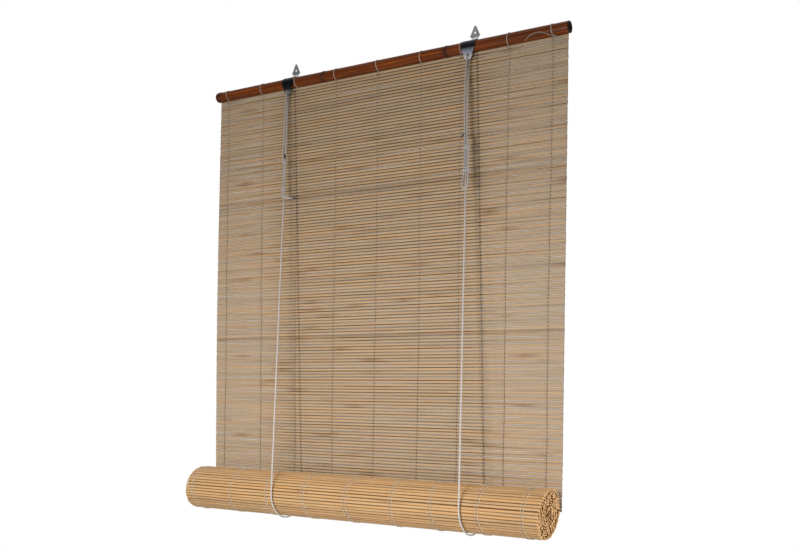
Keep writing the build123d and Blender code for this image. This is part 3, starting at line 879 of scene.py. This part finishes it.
def make_rear_end(side, x):
    """The cord's quarter bend through the rear tab's hole, and the overhand knot that stops it behind
    the tab. The knot is a trefoil: a circle with a larger one, of half its period, laid over it."""
    _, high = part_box(f"cord_rear_end_{side}")
    bend = 0.004
    hole = cane_z - REAR_HOLE_DROP
    angle = np.linspace(math.pi, math.pi / 2, 16)
    arc = np.stack([np.full(16, x), rear_leg_y + bend + bend * np.cos(angle),
                    hole - bend + bend * np.sin(angle)], -1)
    legs = np.linspace(0, 1, 8)[:-1, None]
    up = np.array([x, rear_leg_y, cord_top]) * (1 - legs) + arc[0] * legs
    out = arc[-1] * (1 - legs[1:]) + np.array([x, high[1] - 0.004, hole]) * legs[1:]
    t = np.linspace(0, 2 * math.pi, 80)
    middle = high[1] - 0.0025
    size = 0.00125
    knot = np.stack([x + size * (np.sin(t) + 1.1 * np.sin(2 * t)) / 1.4, middle + 0.0007 * np.sin(3 * t),
                     hole + size * (np.cos(t) - 1.1 * np.cos(2 * t)) / 1.4], -1)
    piece = cord_mesh(f"rear_cord_{side}", [np.concatenate([up, arc, out]), knot], CORD_RADIUS * 0.98)
    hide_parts(f"cord_rear_end_{side}")
    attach(piece, "headrail")


def make_knot(side, x, place, drop):
    """A hitch: the cord wound a little over two turns round the strands that it holds."""
    strands = (-1, 0, 1) if side == "right" else (-1, 0)
    middle = sum(strands) / len(strands) * STRAND_SPACING
    reach = (len(strands) - 1) / 2 * STRAND_SPACING
    tall = 0.0062
    turn = np.linspace(0.3, 2.35 * 2 * math.pi, 110)
    climb = (turn / turn[-1] - 0.5) * tall
    swing = CORD_RADIUS * 1.95
    path = np.array([beside(x, middle, 0, -drop + c) for c in climb])
    path[:, 0] += np.cos(turn) * (reach + swing)
    path[:, 1] -= np.sin(turn) * swing
    path[:, 2] += 0.0012 * np.sin(turn * 0.5)
    piece = cord_mesh(f"{place}_hitch_{side}", [path], CORD_RADIUS * 0.95)
    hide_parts(f"tie_knot_{place}_{side}")
    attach(piece, "headrail")
    return piece


def make_stub(side, x, drop):
    """The cord's other cut end, which stands out of the upper hitch and is sealed dark."""
    route = ((-0.0015, 0.0035, -0.002), (0.0005, 0.0050, 0.004), (0.0010, 0.0050, 0.009),
             (0.0005, 0.0045, 0.015))
    path = spline_points([beside(x, u, v, -drop + up) for u, v, up in route])
    piece = cord_mesh(f"cut_end_{side}", [path], sealed=0.010)
    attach(piece, "headrail")
    return piece


def make_tail(side, x):
    """The free tail, one smooth curve through its route, with its hitches and its sealed dark end."""
    exit_point = np.array([x, front_leg_y, cord_top])
    route = [exit_point] + [beside(x, u / 1000, v / 1000, z / 1000) for u, v, z in TAIL_ROUTE[side]]
    path = spline_points(route)
    piece = cord_mesh(f"tail_cord_{side}", [path], sealed=0.009)
    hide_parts(f"cord_tail_{side}")
    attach(piece, "headrail")
    hitches = [make_knot(side, x, place, drop) for place, drop in zip(("upper", "lower"), KNOT_DROPS[side])]
    if side == "left":
        hitches.append(make_stub(side, x, KNOT_DROPS[side][0]))
    for soft in (piece, *hitches):
        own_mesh(soft)


# ---- clips ----
def finish_clips():
    """The clips keep the frame's own shape and get their steel, with painted reflections in its colour."""
    for side in CLIPS:
        node = frame["nodes"][f"clip_{side}"]
        node.data.materials.clear()
        node.data.materials.append(clip_steel_painted_light[side])


# ---- studio ----
def make_surround():
    """A surround that is plain white to look at and lights the blind as a room does: strongly from
    straight overhead and softly from eye level and below."""
    world = bpy.data.worlds.new("studio")
    world.use_nodes = True
    tree = world.node_tree
    seen = tree.nodes["Background"]
    seen.inputs["Color"].default_value = (1.0, 1.0, 1.0, 1.0)
    room = tree.nodes.new("ShaderNodeBackground")
    direction = tree.nodes.new("ShaderNodeTexCoord")
    parts = tree.nodes.new("ShaderNodeSeparateXYZ")
    height = tree.nodes.new("ShaderNodeMapRange")
    height.inputs["From Min"].default_value = -1.0
    shade = tree.nodes.new("ShaderNodeValToRGB")
    greys = ((0.0, 0.10), (0.46, 0.17), (0.56, 0.11), (0.68, 0.05))
    stops = [(place, (grey, grey * 0.99, grey * 0.97)) for place, grey in greys]
    put_stops(shade.color_ramp, [*stops, (1.0, 1.0)])
    path = tree.nodes.new("ShaderNodeLightPath")
    mix = tree.nodes.new("ShaderNodeMixShader")
    tree.links.new(direction.outputs["Generated"], parts.inputs[0])
    tree.links.new(parts.outputs["Z"], height.inputs["Value"])
    tree.links.new(height.outputs["Result"], shade.inputs["Fac"])
    tree.links.new(shade.outputs["Color"], room.inputs["Color"])
    tree.links.new(path.outputs["Is Camera Ray"], mix.inputs["Fac"])
    tree.links.new(room.outputs[0], mix.inputs[1])
    tree.links.new(seen.outputs[0], mix.inputs[2])
    tree.links.new(mix.outputs[0], tree.nodes["World Output"].inputs["Surface"])
    bpy.context.scene.world = world


def make_studio():
    """A pale floor well below the blind, and soft lights from the upper left front, from the front,
    from the right for the roll's end, and from behind."""
    corners = [(x * FLOOR_REACH, y * FLOOR_REACH, cane_z - FLOOR_DROP)
               for x, y in ((-1, -1), (1, -1), (1, 1), (-1, 1))]
    mesh = bpy.data.meshes.new("floor")
    mesh.from_pydata(corners, [], [(0, 1, 2, 3)])
    floor = bpy.data.objects.new("floor", mesh)
    bpy.context.scene.collection.objects.link(floor)
    mesh.materials.append(floor_finish())
    lights = [("key", (-0.7, -1.6, 0.10), 0.30, 8.0), ("fill", (0.05, -1.35, -0.55), 0.40, 16.5),
              ("side", (1.7, -0.16, -0.85), 0.40, 17.0), ("back", (0.5, 1.7, -0.30), 0.60, 24.0)]
    middle = Vector((0, 0, -0.45))
    for name, place, size, power in lights:
        data = bpy.data.lights.new(name, "AREA")
        data.energy = power
        data.shape = "DISK"
        data.size = size
        lamp = bpy.data.objects.new(name, data)
        lamp.location = place
        lamp.visible_glossy = name == "fill"
        lamp.rotation_euler = (middle - Vector(place)).to_track_quat("-Z", "Y").to_euler()
        bpy.context.scene.collection.objects.link(lamp)


def make_camera():
    """Level with the lower part of the blind and to its right, turned towards its middle and tilted a
    little sideways."""
    data = bpy.data.cameras.new("camera")
    data.lens = 43.37
    data.sensor_width = 36.0
    data.shift_y = 0.149
    data.clip_start = 0.05
    camera = bpy.data.objects.new("camera", data)
    place = (1.0248, -1.5594, -0.6570)
    heading, tilt = math.radians(31.95), math.radians(0.607)
    level = Matrix.Rotation(heading, 4, "Z") @ Matrix.Rotation(math.pi / 2, 4, "X")
    camera.matrix_world = Matrix.Translation(place) @ level @ Matrix.Rotation(tilt, 4, "Z")
    bpy.context.scene.collection.objects.link(camera)
    bpy.context.scene.camera = camera


make_camera()
for side, x in CLIPS.items():
    make_tail(side, x)
    make_strand(side, x, "front", back_leg_y, front_touch)
    make_strand(side, x, "back", rear_leg_y, rear_touch)
    make_sling(side, x)
    make_eye_turn(side, x)
    make_rear_end(side, x)
make_hanging_slats()
make_rolled_slats()
make_warps()
make_roll_threads()
make_cane()
make_ties()
finish_clips()
make_surround()
make_studio()
bpy.context.scene.view_settings.view_transform = "Standard"
